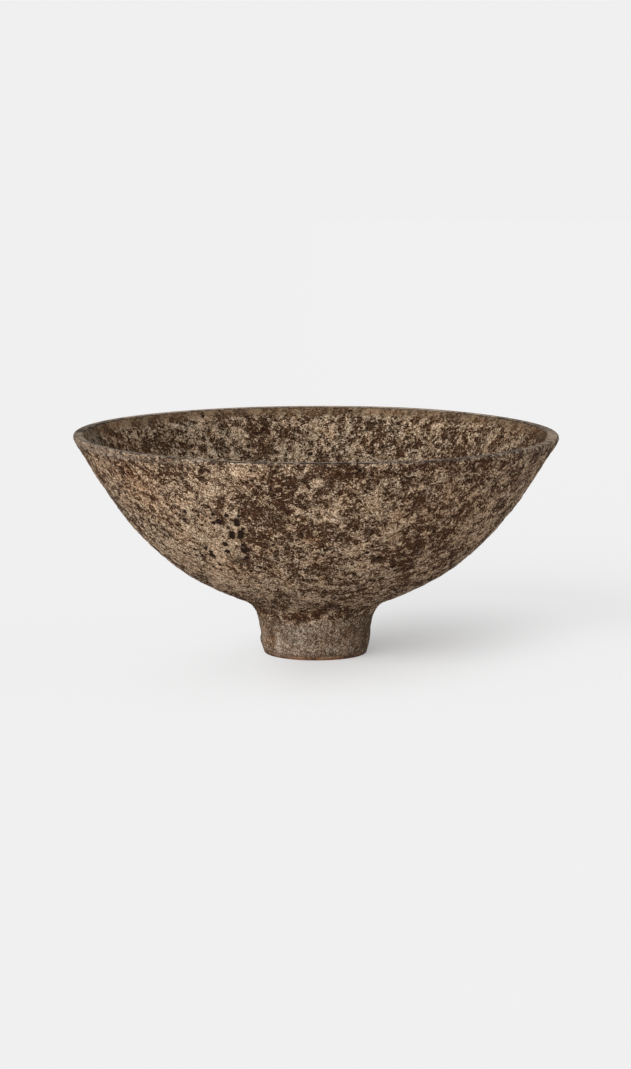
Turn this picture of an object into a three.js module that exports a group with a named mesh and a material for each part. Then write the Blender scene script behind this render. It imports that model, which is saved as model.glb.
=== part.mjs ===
// A wide stoneware bowl on a tall, narrow foot, thrown in two parts and glazed inside and out.
// Millimetres, +Z up. The origin is on the table, under the middle of the foot.
// Every piece is turned about the same axis, so each is one closed outline of (radius, height) points.
import * as THREE from "three";

// The bowl, thrown with a bare, nearly flat lip
const lipRadius = 150; // widest point of the lip
const lipHeight = 137.5; // top of the lip above the table
const lipThickness = 5.6; // wall just under the lip, square to its faces
const lipOuterRound = 1.3; // rounding of the lip's outer edge
const lipInnerRound = 1.8; // rounding of the lip's inner edge
const wallAngle = 58.5; // degrees above level, where the wall meets the lip
const wallFullness = 0.455; // how long the wall keeps the lip's slope, as a part of the wall's span
const undersideAngle = 21; // degrees above level, where the underside leaves the foot
const undersideFullness = 0.375; // how long the wall keeps the underside's slope, likewise
const baseThickness = 8; // wall just outside the foot
const floorThickness = 7; // clay under the flat well
const wellRadius = 20; // flat middle of the inside

// The foot, a tall ring thrown by itself
const footHeight = 32.1; // table to the underside of the bowl
const footRadius = 32; // outer radius at the table
const footTopRadius = 35.5; // outer radius at the joint
const footWall = 6; // wall at the table
const footTopWall = 8; // wall at the joint
const footEdgeRound = 1.5; // rounding of the edges that stand on the table

// The joint between the two
const slipThickness = 0.8; // slip between the scored faces
const baseMargin = 2.5; // flat underside that is left outside the foot
const coilDrop = 13.4; // how far down the foot the coil is worked
const coilReach = 9; // how far out along the underside it is worked

// The coats of glaze
const outerCoat = 0.8; // thickness on the outside of the bowl
const footCoat = 0.8; // thickness on the neck and foot
const innerCoat = 0.8; // thickness inside the bowl
const coatEdge = 0.3; // thickness where a coat stops
const coatFeather = 8; // length over which a coat thins to its edge
const glazeLine = 2.6; // bare clay above the table
const coatFit = 0.05; // clearance that a coat keeps to the clay it lies on

// Facets
const turns = 48; // around the axis
const wallSteps = 10;
const floorSteps = 4;
const neckSteps = 5;
const edgeSteps = 3;
const lipSteps = 5;

const { cos, sin, tan, PI } = Math;
const quarter = PI / 2;
const lipSlope = THREE.MathUtils.degToRad(wallAngle);
const underSlope = THREE.MathUtils.degToRad(undersideAngle);

const at = (radius, height) => new THREE.Vector2(radius, height);
const heading = (slope) => at(cos(slope), sin(slope));
const along = (from, direction, length) => from.clone().addScaledVector(direction, length);

// The right-hand side of a line. Rails run so that this side faces away from the clay.
const outerSide = (direction) => at(direction.y, -direction.x);

// A rail is a row of stations on a clay surface, each a point and the normal that leaves the clay.
const station = (point, normal) => ({ point, normal });
const points = (rail) => rail.map(({ point }) => point);

function rail(curve, fractions) {
  return fractions.map((fraction) =>
    station(curve.getPointAt(fraction), outerSide(curve.getTangentAt(fraction))),
  );
}

const evenly = (steps, upTo = 1) =>
  Array.from({ length: steps + 1 }, (_, i) => (upTo * i) / steps);

const arc = (centre, radius, from, to, steps) =>
  new THREE.ArcCurve(centre.x, centre.y, radius, from, to).getPoints(steps);

// Outline of a coat that lies on a rail. An open end is thinned to the coat's edge.
function coatOutline(clay, thickness, { openStart = false, openEnd = false }) {
  const last = clay.length - 1;
  const back = clay.map(({ point, normal }) => along(point, normal, coatFit));
  const face = clay.map(({ point, normal }, i) => {
    const thinned = (openStart && i === 0) || (openEnd && i === last);
    return along(point, normal, thinned ? coatEdge : thickness);
  });
  return [...back.reverse(), ...face];
}

// The foot's outer line, and the underside of the bowl
const footTop = footHeight - slipThickness;
const footLine = at(footTopRadius - footRadius, footTop);
const footSlope = footLine.angle();
const onFoot = (height) => at(footRadius + (height * footLine.x) / footLine.y, height);
const boreRadius = footRadius - footWall;
const boreTopRadius = footTopRadius - footTopWall;
const boreSlope = at(boreTopRadius - boreRadius, footTop).angle();

const baseCorner = at(footTopRadius + baseMargin, footHeight);
const coilEnd = along(baseCorner, heading(underSlope), coilReach);
const coilStart = onFoot(footHeight - coilDrop);

// Where the foot's line would meet the line of the underside
function innerCorner() {
  const foot = heading(footSlope);
  const under = heading(underSlope);
  const gap = baseCorner.clone().sub(coilStart);
  return along(coilStart, foot, gap.cross(under) / foot.cross(under));
}

// The outside, from the glaze line up over the neck to the lip
const lipCentre = at(lipRadius - lipOuterRound, lipHeight - lipOuterRound);
const wallEnd = along(lipCentre, heading(lipSlope - quarter), lipOuterRound);
const wallSpan = coilEnd.distanceTo(wallEnd);
const wallCurve = new THREE.CubicBezierCurve(
  coilEnd,
  along(coilEnd, heading(underSlope), wallSpan * undersideFullness),
  along(wallEnd, heading(lipSlope), -wallSpan * wallFullness),
  wallEnd,
);
const neckCurve = new THREE.QuadraticBezierCurve(coilStart, innerCorner(), coilEnd);
const featherFraction = 1 - coatFeather / wallCurve.getLength();

const footNormal = outerSide(heading(footSlope));
const footRail = [
  station(onFoot(glazeLine), footNormal),
  station(onFoot(glazeLine + coatFeather * sin(footSlope)), footNormal),
];
const neckRail = rail(neckCurve, evenly(neckSteps));
const wallRail = rail(wallCurve, [...evenly(wallSteps, featherFraction), 1]);

// The inside, from the lip down to the middle of the well
const floorHeight = footHeight + floorThickness;
const wallWidth = (i) =>
  THREE.MathUtils.lerp(baseThickness, lipThickness, i / (wallRail.length - 1));
const innerWall = wallRail.map(({ point, normal }, i) =>
  station(along(point, normal, -wallWidth(i)), normal.clone().negate()),
);
const innerFoot = innerWall[0].point;
const floorBend = at(
  innerFoot.x - (innerFoot.y - floorHeight) / tan(underSlope),
  floorHeight,
);
const wellEdge = at(wellRadius, floorHeight);
const floorCurve = new THREE.QuadraticBezierCurve(innerFoot, floorBend, wellEdge);

// The inner wall stops where the lip's inner rounding starts.
const innerTop = innerWall.at(-1);
const roundStart = lipHeight - lipInnerRound * (1 - cos(lipSlope));
innerTop.point = along(
  innerTop.point,
  heading(lipSlope),
  (roundStart - innerTop.point.y) / sin(lipSlope),
);
const innerRail = [
  ...innerWall.toReversed(),
  ...rail(floorCurve, evenly(floorSteps)).slice(1),
  station(at(0, floorHeight), at(0, 1)),
];

// The thrown bowl: underside, outer wall, lip, inner wall and floor
function bowlOutline() {
  const innerCentre = along(innerTop.point, innerTop.normal, -lipInnerRound);
  return [
    at(0, footHeight),
    baseCorner,
    ...points(wallRail),
    ...arc(lipCentre, lipOuterRound, lipSlope - quarter, quarter, lipSteps).slice(1),
    ...arc(innerCentre, lipInnerRound, quarter, quarter + lipSlope, edgeSteps).slice(0, -1),
    ...points(innerRail),
  ];
}

// The foot ring, with both of its standing edges rounded
function footOutline() {
  const outer = at(footRadius - footEdgeRound * tan(footSlope / 2), footEdgeRound);
  const inner = at(boreRadius + footEdgeRound / tan(boreSlope / 2), footEdgeRound);
  return [
    ...arc(inner, footEdgeRound, quarter + boreSlope, 3 * quarter, edgeSteps),
    ...arc(outer, footEdgeRound, -quarter, footSlope - quarter, edgeSteps),
    ...points(footRail),
    coilStart,
    at(footTopRadius, footTop),
    at(boreTopRadius, footTop),
  ];
}

const slipOutline = [
  at(boreTopRadius, footTop),
  at(footTopRadius, footTop),
  at(footTopRadius, footHeight),
  at(boreTopRadius, footHeight),
];

const coilOutline = [
  ...points(neckRail),
  baseCorner,
  at(footTopRadius, footHeight),
  at(footTopRadius, footTop),
];

const bowl = new THREE.Group();
bowl.name = "footed_bowl";
bowl.rotation.x = quarter; // an outline is turned about Y, and the bowl stands along Z

function turned(name, outline, colour, roughness) {
  const material = new THREE.MeshStandardMaterial({ color: colour, roughness, metalness: 0 });
  const onAxis = outline[0].x === 0;
  const closed = onAxis ? outline : [...outline, outline[0]];
  const mesh = new THREE.Mesh(new THREE.LatheGeometry(closed, turns), material);
  mesh.name = name;
  bowl.add(mesh);
}

turned("bowl_body", bowlOutline(), 0x76675a, 0.85);
turned("foot_ring", footOutline(), 0x7c5c44, 0.9);
turned("joint_slip", slipOutline, 0x6d523e, 0.95);
turned("neck_coil", coilOutline, 0x6d523e, 0.9);
turned(
  "foot_glaze",
  coatOutline([...footRail, ...neckRail], footCoat, { openStart: true }),
  0x736252,
  0.8,
);
turned("outer_glaze", coatOutline(wallRail, outerCoat, { openEnd: true }), 0x685444, 0.8);
turned(
  "inner_glaze",
  coatOutline(innerRail, innerCoat, { openStart: true }),
  0x685748,
  0.75,
);

const part = new THREE.Group();
part.add(bowl);
export default part;
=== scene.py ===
from collections import namedtuple
import math

import bpy
import numpy as np
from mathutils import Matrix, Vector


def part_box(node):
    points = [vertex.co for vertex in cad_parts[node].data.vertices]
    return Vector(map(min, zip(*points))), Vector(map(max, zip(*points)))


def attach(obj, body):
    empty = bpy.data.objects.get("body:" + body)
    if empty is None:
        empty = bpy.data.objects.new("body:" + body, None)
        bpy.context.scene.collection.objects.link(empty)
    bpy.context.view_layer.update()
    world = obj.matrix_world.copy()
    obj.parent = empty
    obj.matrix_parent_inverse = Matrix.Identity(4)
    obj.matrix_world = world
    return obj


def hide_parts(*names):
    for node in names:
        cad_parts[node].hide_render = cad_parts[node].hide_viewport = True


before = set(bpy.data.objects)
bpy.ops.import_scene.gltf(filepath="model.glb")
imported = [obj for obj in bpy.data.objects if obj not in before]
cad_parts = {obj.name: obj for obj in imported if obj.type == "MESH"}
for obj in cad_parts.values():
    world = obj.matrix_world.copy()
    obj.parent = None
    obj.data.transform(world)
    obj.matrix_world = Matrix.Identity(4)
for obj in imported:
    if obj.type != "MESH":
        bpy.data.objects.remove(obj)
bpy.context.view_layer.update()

MM = 0.001


def reach_of(node):
    """Lowest height, largest radius and highest height of a CAD node."""
    low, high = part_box(node)
    return low.z / MM, high.x / MM, high.z / MM


# The thrown bowl
FOOT_HEIGHT, LIP_RADIUS, LIP_HEIGHT = reach_of("bowl_body")
LIP_THICKNESS = 5.6
LIP_OUTER_ROUND = 1.3
LIP_INNER_ROUND = 1.8
WALL_SLOPE = math.radians(58.5)
WALL_FULLNESS = 0.455
UNDER_SLOPE = math.radians(21)
UNDER_FULLNESS = 0.375
BASE_THICKNESS = 8.0
FLOOR_THICKNESS = 7.0
WELL_RADIUS = 20.0

# The foot, its slip and its coil
_, FOOT_TOP_RADIUS, FOOT_TOP = reach_of("foot_ring")
FOOT_RADIUS = 32.0
FOOT_WALL = 6.0
FOOT_TOP_WALL = 8.0
FOOT_EDGE_ROUND = 1.5
BASE_MARGIN = 2.5
COIL_START, COIL_REACH, COIL_TOP = reach_of("neck_coil")

# The coats of glaze
COAT = 0.8
COAT_EDGE = 0.3
COAT_FEATHER = 8.0
COAT_FIT = 0.05
GLAZE_LINE = 2.6
EDGE_CALM = 2.5  # at a bare edge the relief fades over this length
EDGE_RELIEF = 0.15  # to this share

# Fineness of the meshes
FACE_ROW = 1.05
INNER_ROW = 1.25
BACK_ROW = 7.0
CLAY_ROW = 4.0
LIP_ROW = 0.6
BORE_ROW = 1.0
FOOT_ROW = 0.8
COIL_ROW = 2.0
LIP_OUTER_STEPS = 12
LIP_INNER_STEPS = 8
LIP_EDGE_STEP = 8  # which step of the lip's outer rounding is called its edge
FOOT_EDGE_GAP = 0.3  # from the foot's rounded edge up to its next row
BOWL_TURNS = 576
FOOT_TURNS = 336
HIDDEN_TURNS = 96
ON_AXIS = 1e-6  # a smaller radius counts as none
SHARP_ANGLE = math.radians(55)


# Outlines, as rows of (radius, height)

def heading(slope):
    """Unit step of a line that rises at this slope."""
    return np.array([math.cos(slope), math.sin(slope)])


def bezier(*controls, steps=600):
    """Points of a Bezier curve."""
    t = np.linspace(0.0, 1.0, steps + 1)[:, None]
    layer = [np.tile(control, (steps + 1, 1)) for control in controls]
    while len(layer) > 1:
        layer = [a + (b - a) * t for a, b in zip(layer, layer[1:])]
    return layer[0]


def arc(centre, radius, start, stop, steps=8):
    """Points of an arc."""
    angle = np.linspace(start, stop, steps + 1)
    return np.array(centre) + radius * np.stack([np.cos(angle), np.sin(angle)], axis=1)


def straight(start, stop, steps=100):
    """Points of a straight line."""
    t = np.linspace(0.0, 1.0, steps + 1)[:, None]
    return np.array(start) + (np.array(stop) - np.array(start)) * t


def run(line):
    """Length along a line at each of its points."""
    return np.concatenate([[0.0], np.cumsum(np.linalg.norm(np.diff(line, axis=0), axis=1))])


def spaced(line, gap):
    """The same line with its points at even distances, near the gap."""
    length = run(line)
    places = np.linspace(0.0, length[-1], max(2, round(length[-1] / gap) + 1))
    return np.stack([np.interp(places, length, line[:, i]) for i in (0, 1)], axis=1)


def facing(line):
    """Unit normals on the right-hand side of a line, which faces away from the clay."""
    along = np.gradient(line, axis=0)
    along /= np.linalg.norm(along, axis=1)[:, None]
    return np.stack([along[:, 1], -along[:, 0]], axis=1)


def smooth(x):
    """Smooth rise from 0 to 1 while x does."""
    x = np.clip(x, 0.0, 1.0)
    return x * x * (3.0 - 2.0 * x)


# The lines of the clay
QUARTER = math.pi / 2
foot_run = np.array([FOOT_TOP_RADIUS - FOOT_RADIUS, FOOT_TOP])
FOOT_SLOPE = math.atan2(foot_run[1], foot_run[0])
BORE_RADIUS = FOOT_RADIUS - FOOT_WALL
BORE_TOP_RADIUS = FOOT_TOP_RADIUS - FOOT_TOP_WALL
BORE_SLOPE = math.atan2(FOOT_TOP, BORE_TOP_RADIUS - BORE_RADIUS)


def on_foot(height):
    """The point of the foot's outer line at a height."""
    return np.array([FOOT_RADIUS + height * foot_run[0] / foot_run[1], height])


coil_start = on_foot(COIL_START)
coil_end = np.array([COIL_REACH, COIL_TOP])
base_corner = np.array([FOOT_TOP_RADIUS + BASE_MARGIN, FOOT_HEIGHT])
lip_centre = np.array([LIP_RADIUS - LIP_OUTER_ROUND, LIP_HEIGHT - LIP_OUTER_ROUND])
wall_end = lip_centre + LIP_OUTER_ROUND * heading(WALL_SLOPE - QUARTER)
wall_span = np.linalg.norm(wall_end - coil_end)


def neck_corner():
    """Where the foot's line would meet the line of the underside."""
    foot, under = heading(FOOT_SLOPE), heading(UNDER_SLOPE)
    gap = base_corner - coil_start
    cross = gap[0] * under[1] - gap[1] * under[0]
    return coil_start + foot * cross / (foot[0] * under[1] - foot[1] * under[0])


outer_wall = bezier(
    coil_end,
    coil_end + heading(UNDER_SLOPE) * wall_span * UNDER_FULLNESS,
    wall_end - heading(WALL_SLOPE) * wall_span * WALL_FULLNESS,
    wall_end,
)
neck_line = bezier(coil_start, neck_corner(), coil_end)
foot_line = np.concatenate([straight(on_foot(GLAZE_LINE), coil_start)[:-1], neck_line])


def inner_line():
    """The inside of the bowl, from the lip down to the middle of the well."""
    part = (run(outer_wall) / run(outer_wall)[-1])[:, None]
    thickness = BASE_THICKNESS + (LIP_THICKNESS - BASE_THICKNESS) * part
    wall = (outer_wall - facing(outer_wall) * thickness)[::-1]
    top = LIP_HEIGHT - LIP_INNER_ROUND * (1 - math.cos(WALL_SLOPE))
    rise = (top - wall[0, 1]) / math.sin(WALL_SLOPE)
    start = wall[0] + heading(WALL_SLOPE) * rise
    floor = FOOT_HEIGHT + FLOOR_THICKNESS
    foot = wall[-1]
    bend = np.array([foot[0] - (foot[1] - floor) / math.tan(UNDER_SLOPE), floor])
    well = bezier(foot, bend, (WELL_RADIUS, floor))
    centre = straight((WELL_RADIUS, floor), (0.0, floor))
    wall = wall[wall[:, 1] < start[1]]
    return np.concatenate([[start], wall, well[1:], centre[1:]])


inner_wall = inner_line()


# Outlines of the pieces. The last row of a closed ring meets its first.

def bowl_outline():
    """Base, underside, outer wall, lip, inner wall and floor, from axis to axis.
    Also gives each row's length along the outline from the lip's outer edge."""
    inner_normal = heading(WALL_SLOPE + QUARTER)
    inner_centre = inner_wall[0] - inner_normal * LIP_INNER_ROUND
    below = np.concatenate([
        spaced(straight((0.0, FOOT_HEIGHT), base_corner), CLAY_ROW),
        spaced(outer_wall, CLAY_ROW)[:-1],
    ])
    outer_round = arc(
        lip_centre, LIP_OUTER_ROUND, WALL_SLOPE - QUARTER, QUARTER, LIP_OUTER_STEPS
    )
    flat_end = inner_centre + [0.0, LIP_INNER_ROUND]
    turn_end = QUARTER + WALL_SLOPE
    rows = np.concatenate([
        below,
        outer_round,
        spaced(straight(outer_round[-1], flat_end), LIP_ROW)[1:-1],
        arc(inner_centre, LIP_INNER_ROUND, QUARTER, turn_end, LIP_INNER_STEPS)[:-1],
        spaced(inner_wall, CLAY_ROW),
    ])
    length = run(rows)
    edge = len(below) + LIP_EDGE_STEP
    return rows, length - length[edge]


def foot_outline():
    """The foot ring: its bore, its rounded standing edge, its outside and its top."""
    inner_x = BORE_RADIUS + FOOT_EDGE_ROUND / math.tan(BORE_SLOPE / 2)
    outer_x = FOOT_RADIUS - FOOT_EDGE_ROUND * math.tan(FOOT_SLOPE / 2)
    inner = (inner_x, FOOT_EDGE_ROUND)
    outer = (outer_x, FOOT_EDGE_ROUND)
    bore_foot = arc(inner, FOOT_EDGE_ROUND, QUARTER + BORE_SLOPE, 3 * QUARTER)
    bare_start = on_foot(FOOT_EDGE_ROUND + FOOT_EDGE_GAP)
    return np.concatenate([
        spaced(straight((BORE_TOP_RADIUS, FOOT_TOP), bore_foot[0]), BORE_ROW)[:-1],
        bore_foot,
        arc(outer, FOOT_EDGE_ROUND, -QUARTER, FOOT_SLOPE - QUARTER),
        spaced(straight(bare_start, (FOOT_TOP_RADIUS, FOOT_TOP)), FOOT_ROW),
    ])


SLIP_OUTLINE = np.array([
    (BORE_TOP_RADIUS, FOOT_TOP),
    (FOOT_TOP_RADIUS, FOOT_TOP),
    (FOOT_TOP_RADIUS, FOOT_HEIGHT),
    (BORE_TOP_RADIUS, FOOT_HEIGHT),
])

COIL_OUTLINE = np.concatenate([
    spaced(neck_line, COIL_ROW),
    [base_corner, (FOOT_TOP_RADIUS, FOOT_HEIGHT), (FOOT_TOP_RADIUS, FOOT_TOP)],
])


def coat_outline(clay, row=FACE_ROW, open_start=False, open_end=False):
    """A coat on a line of clay: its back, then its face, thinned where it stops.
    Also gives each row's share of relief: none on the back and little at a bare edge."""
    back = spaced(clay, BACK_ROW)
    back = (back + facing(back) * COAT_FIT)[::-1]
    face = spaced(clay, row)
    length = run(face)
    to_edge = np.full(len(face), np.inf)
    if open_start:
        to_edge = np.minimum(to_edge, length)
    if open_end:
        to_edge = np.minimum(to_edge, length[-1] - length)
    thickness = COAT_EDGE + (COAT - COAT_EDGE) * smooth(to_edge / COAT_FEATHER)
    relief = EDGE_RELIEF + (1.0 - EDGE_RELIEF) * smooth(to_edge / EDGE_CALM)
    rows = np.concatenate([back, face + facing(face) * thickness[:, None]])
    return rows, np.concatenate([np.zeros(len(back)), relief])


# How the potter's hands left the form: (degrees round, height, reach in height, outwards)
SWELLS = (
    (-90, 126, 9, -0.45),
    (-90, 83, 9, 0.6),
    (-90, 50, 8, 0.5),
    (-90, 22, 12, -0.1),
    (-90, 13, 3.5, -0.4),
    (-90, 7.5, 2.5, 0.6),
    (90, 134, 5, 0.5),
    (90, 123, 6, -0.25),
    (90, 97, 7, 0.6),
    (90, 66, 9, -0.3),
    (90, 45, 7, -0.6),
    (90, 16, 14, -0.3),
    (90, 17, 6, -0.4),
    (180, 110, 12, 0.4),
    (150, 70, 12, -0.4),
    (-150, 88, 10, 0.4),
)
SWELL_DEGREES = 38.0
OVAL = 0.3  # out of round, across the diagonals
LIP_DIP = 0.3  # the lip is this much lower on the right and higher on the left
RING_GAP = 6.5  # throwing rings
RING_HEIGHT = 0.05
LIP_WAVES = (  # (degrees round, reach in degrees, lift)
    (152, 22, 0.55),
    (-137, 20, -0.25),
    (5, 15, 0.4),
    (26, 11, -0.35),
)
WALL_LIFT = 0.5  # between neck and lip the wall stands this much above its outline
LEVEL_TOP = 20.0  # up to this height the foot stands level
LEVEL_FADE = 14.0  # and over this height above it the tilt and the lift set in
LIFT_TOP = 137.0  # at this height the lift is gone again
LIFT_FADE = 12.0  # and it fades over this height below it
SWELL_CORE = 20.0  # nearer to the axis than this, swells shrink with the radius


def around(points):
    """Degrees round from the front."""
    return np.degrees(np.arctan2(points[:, 0], -points[:, 1]))


def apart(degrees, centre):
    """Degrees from a place round the bowl, the short way."""
    return (degrees - centre + 180.0) % 360.0 - 180.0


def thrown(points):
    """The points moved in or out, and the lip tilted, as the bowl left the wheel."""
    degrees = around(points)
    height = points[:, 2]
    radius = np.linalg.norm(points[:, :2], axis=1)
    outwards = OVAL * np.sin(np.radians(2 * degrees)) * radius / LIP_RADIUS
    outwards += RING_HEIGHT * np.sin(2 * np.pi * (height / RING_GAP + degrees / 360.0))
    for centre, level, reach, amount in SWELLS:
        near = (apart(degrees, centre) / SWELL_DEGREES) ** 2 + ((height - level) / reach) ** 2
        outwards += amount * np.exp(-near)
    moved = points.copy()
    moved[:, :2] *= (1.0 + outwards / np.maximum(radius, SWELL_CORE))[:, None]
    part = radius / LIP_RADIUS
    above = smooth((height - LEVEL_TOP) / LEVEL_FADE)
    moved[:, 2] -= LIP_DIP * (points[:, 0] / LIP_RADIUS) * part**2 * above
    moved[:, 2] += WALL_LIFT * above * smooth((LIFT_TOP - height) / LIFT_FADE)
    for centre, reach, amount in LIP_WAVES:
        moved[:, 2] += amount * part**8 * np.exp(-((apart(degrees, centre) / reach) ** 2))
    return moved


# Meshes

def add(name, data):
    """A new object in the scene."""
    made = bpy.data.objects.new(name, data)
    bpy.context.scene.collection.objects.link(made)
    return made


def ring_of_faces(first, second, turns):
    """Faces between two rows of vertices. A row on the axis has only one vertex."""
    j = np.arange(turns)
    k = (j + 1) % turns
    if len(first) == 1:
        return [(first[0], second[b], second[a]) for a, b in zip(j, k)]
    if len(second) == 1:
        return [(first[a], first[b], second[0]) for a, b in zip(j, k)]
    return [(first[a], first[b], second[b], second[a]) for a, b in zip(j, k)]


def turned(name, outline, turns, **row_values):
    """A closed mesh, turned from an outline whose right-hand side faces out.
    A value that is given for each row becomes a number at each vertex."""
    on_axis = outline[0, 0] < ON_AXIS
    angle = np.arange(turns) * (2 * math.pi / turns)
    vertices, owners, rows = [], [], []
    for index, (radius, height) in enumerate(outline):
        circle = angle if radius > ON_AXIS else angle[:1]
        rows.append(np.arange(len(circle)) + len(vertices))
        for turn in circle:
            vertices.append((radius * math.sin(turn), -radius * math.cos(turn), height))
            owners.append(index)
    pairs = list(zip(rows, rows[1:]))
    if not on_axis:
        pairs.append((rows[-1], rows[0]))
    faces = [face for first, second in pairs for face in ring_of_faces(first, second, turns)]
    mesh = bpy.data.meshes.new(name)
    mesh.from_pydata((thrown(np.array(vertices)) * MM).tolist(), [], faces)
    for label, values in row_values.items():
        numbers = np.asarray(values)[owners]
        mesh.attributes.new(label, "FLOAT", "POINT").data.foreach_set("value", numbers)
    mesh.shade_smooth()
    mesh.set_sharp_from_angle(angle=SHARP_ANGLE)
    return add(name, mesh)


# Blotches laid on one by one: (degrees round, height, reach, amount)
OUTER_PALE = (
    (-24, 129, 7, 0.6),
    (-16, 135, 6, 1.3),
    (-34, 120, 5, 0.5),
    (-5, 132, 4, 0.6),
    (10, 120, 4, 0.4),
    (28, 75, 5, 0.4),
    (55, 108, 7, 0.4),
    (24, 91, 4, 0.3),
    (-25, 85, 4, 0.4),
    (-22, 130, 5, 0.5),
    (-17, 119, 4, 0.4),
    (-34, 102, 4, 0.2),
    (12, 85, 4, 0.5),
    (-12, 65, 5, 0.3),
    (-29, 118, 8, 0.6),
    (-34, 106, 10, 0.8),
    (-37, 90, 12, 0.6),
    (-31, 84, 9, 0.6),
    (-33, 70, 9, 0.6),
    (-62, 113, 14, 0.15),
    (-50, 108, 9, 0.35),
    (-57, 76, 9, 0.4),
    (-25, 118, 5, 0.6),
    (-24, 97, 5, 0.9),
    (-21, 101, 4, 0.5),
    (2, 101, 3.5, 0.5),
    (12, 128, 3.5, 0.5),
    (-14, 133, 4, 0.5),
    (-22, 89, 4, 0.6),
    (-27, 92, 5, 0.4),
    (-66, 92, 14, 0.1),
    (-50, 66, 12, 0.8),
    (-45, 85, 12, 0.3),
    (-42, 112, 8, 0.4),
    (-40, 56, 10, 0.9),
    (-33, 47, 9, 0.5),
    (-38, 54, 7, 0.3),
    (-28, 56, 9, 0.7),
    (-20, 62, 7, 0.35),
    (-12, 54, 7, 0.3),
    (3, 106, 7, 0.55),
    (1, 126, 3.5, 1.9),
    (15, 110, 7, 0.45),
    (9, 119, 4, 0.4),
    (20, 105, 6, 0.3),
    (21, 91, 6, 0.9),
    (12, 80, 7, 0.7),
    (11, 72, 6, 0.2),
    (17, 68, 7, 0.5),
    (-4, 82, 6, 0.3),
    (37, 106, 8, 0.5),
    (31, 127, 3, 1.4),
    (46, 118, 8, 0.3),
    (52, 100, 10, 0.3),
    (45, 90, 8, 0.3),
    (62, 84, 12, 0.5),
    # Painted light: this wide blotch lightens the far right, which the lamps leave darker
    (75, 110, 20, 0.4),
    (0, 52, 16, 0.4),
    (-48, 75, 20, 0.25),
    (-45, 110, 14, 0.25),
    (28, 58, 10, 0.3),
    (50, 58, 12, 0.3),
    (-50, 50, 8, 0.4),
    (-50, 93, 8, 0.3),
)
OUTER_DARK = (
    (-15, 104, 8, -0.8),
    (-14, 95, 8, -0.8),
    (-13, 122, 7, -0.7),
    (-7, 127, 6, -0.6),
    (-4, 119, 4, -0.8),
    (-12, 113, 4, -0.4),
    (-5, 100, 4, -0.7),
    (18, 122, 3.5, -0.8),
    (-16, 96, 4, -0.5),
    (2, 120, 3.5, -0.6),
    (21, 101, 3, -0.5),
    (-12, 75, 4, -0.5),
    (50, 69, 5, -0.4),
    (17, 100, 4, -0.6),
    (-47, 69, 6, -0.6),
    (7, 66, 5, -0.4),
    (26, 60, 6, -0.4),
    (38, 122, 5, -0.4),
    (24, 125, 4, -0.4),
    (22, 85, 4, -0.3),
    (70, 113, 8, -0.4),
    (-78, 100, 14, -0.2),
    (-70, 122, 9, -0.2),
    (-76, 129, 9, -0.5),
    (-56, 96, 8, -0.3),
    (-47, 105, 7, -0.35),
    (-42, 118, 5, -0.25),
    (25, 112, 8, -0.25),
    (44, 104, 7, -0.25),
    (30, 92, 6, -0.3),
    (40, 134, 6, -0.5),
    (-25, 109, 4, -0.6),
    (-29, 109, 2.5, -0.7),
    (-37, 102, 3, -0.5),
    (-38, 97, 3, -0.4),
    (-10, 78, 6, -0.8),
    (-8, 113, 6, -0.4),
    (10, 98, 5, -0.7),
    (26, 103, 6, -0.4),
    (21, 77, 5, -0.6),
    (31, 79, 7, -0.5),
    (33, 67, 7, -0.35),
    (38, 84, 8, -0.3),
    (2, 69, 6, -0.7),
    (-24, 71, 6, -0.3),
    (-20, 84, 5, -0.4),
    (5, 133, 5, -0.9),
    (14, 129, 5, -0.5),
    (22, 133, 5, -0.8),
    (28, 121, 5, -0.5),
    (15, 87, 4, -0.4),
    (41, 95, 6, -0.4),
    (31, 134, 5, -0.7),
    (43, 131, 6, -0.5),
    (-49, 123, 9, -0.7),
    (-54, 127, 9, -0.2),
    (-42, 128, 5, -0.4),
    (28, 128, 5, -0.5),
    (-3, 58, 6, -0.5),
    (-52, 88, 10, -0.2),
    (52, 72, 9, -0.3),
    (-19, 49, 9, -0.3),
    (24, 47, 10, -0.2),
)
INNER_PALE = (
    (-148, 130, 6, 0.7),
    (-158, 120, 6, 0.4),
    (180, 116, 7, 0.7),
    (178, 128, 6, 0.3),
    (166, 132, 8, 0.6),
    (154, 131, 5, 0.7),
    (146, 131, 5, 0.5),
    (172, 125, 4, 0.5),
    (152, 116, 5, 0.3),
    (-150, 126, 5, 0.4),
    (-174, 119, 4, 0.4),
    (175, 108, 4, 0.4),
    (122, 127, 10, 0.1),
    (168, 110, 7, 0.5),
    (-173, 108, 6, 0.4),
    (-95, 130, 20, 0.4),
    (-120, 128, 12, 0.4),
)
INNER_DARK = (
    (-122, 120, 5, -0.4),
    (-139, 118, 5, -0.2),
    (-130, 121, 13, -0.1),
    (92, 133, 10, -0.8),
    (-98, 134, 24, -0.45),
    (-158, 127, 4, -0.8),
    (-168, 117, 4, -0.4),
    (144, 125, 5, -0.3),
    (-170, 120, 4, -0.4),
    (170, 118, 4, -0.4),
    (142, 119, 6, -0.5),
    (103, 130, 8, -0.9),
    (118, 124, 6, -0.5),
    (128, 128, 6, -0.3),
    (-165, 126, 6, -0.7),
    (-165, 112, 7, -0.6),
    (-150, 113, 6, -0.4),
    (160, 118, 6, -0.5),
    (154, 112, 5, -0.3),
    (136, 112, 8, -0.5),
    (172, 121, 4, -0.3),
)
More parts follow.
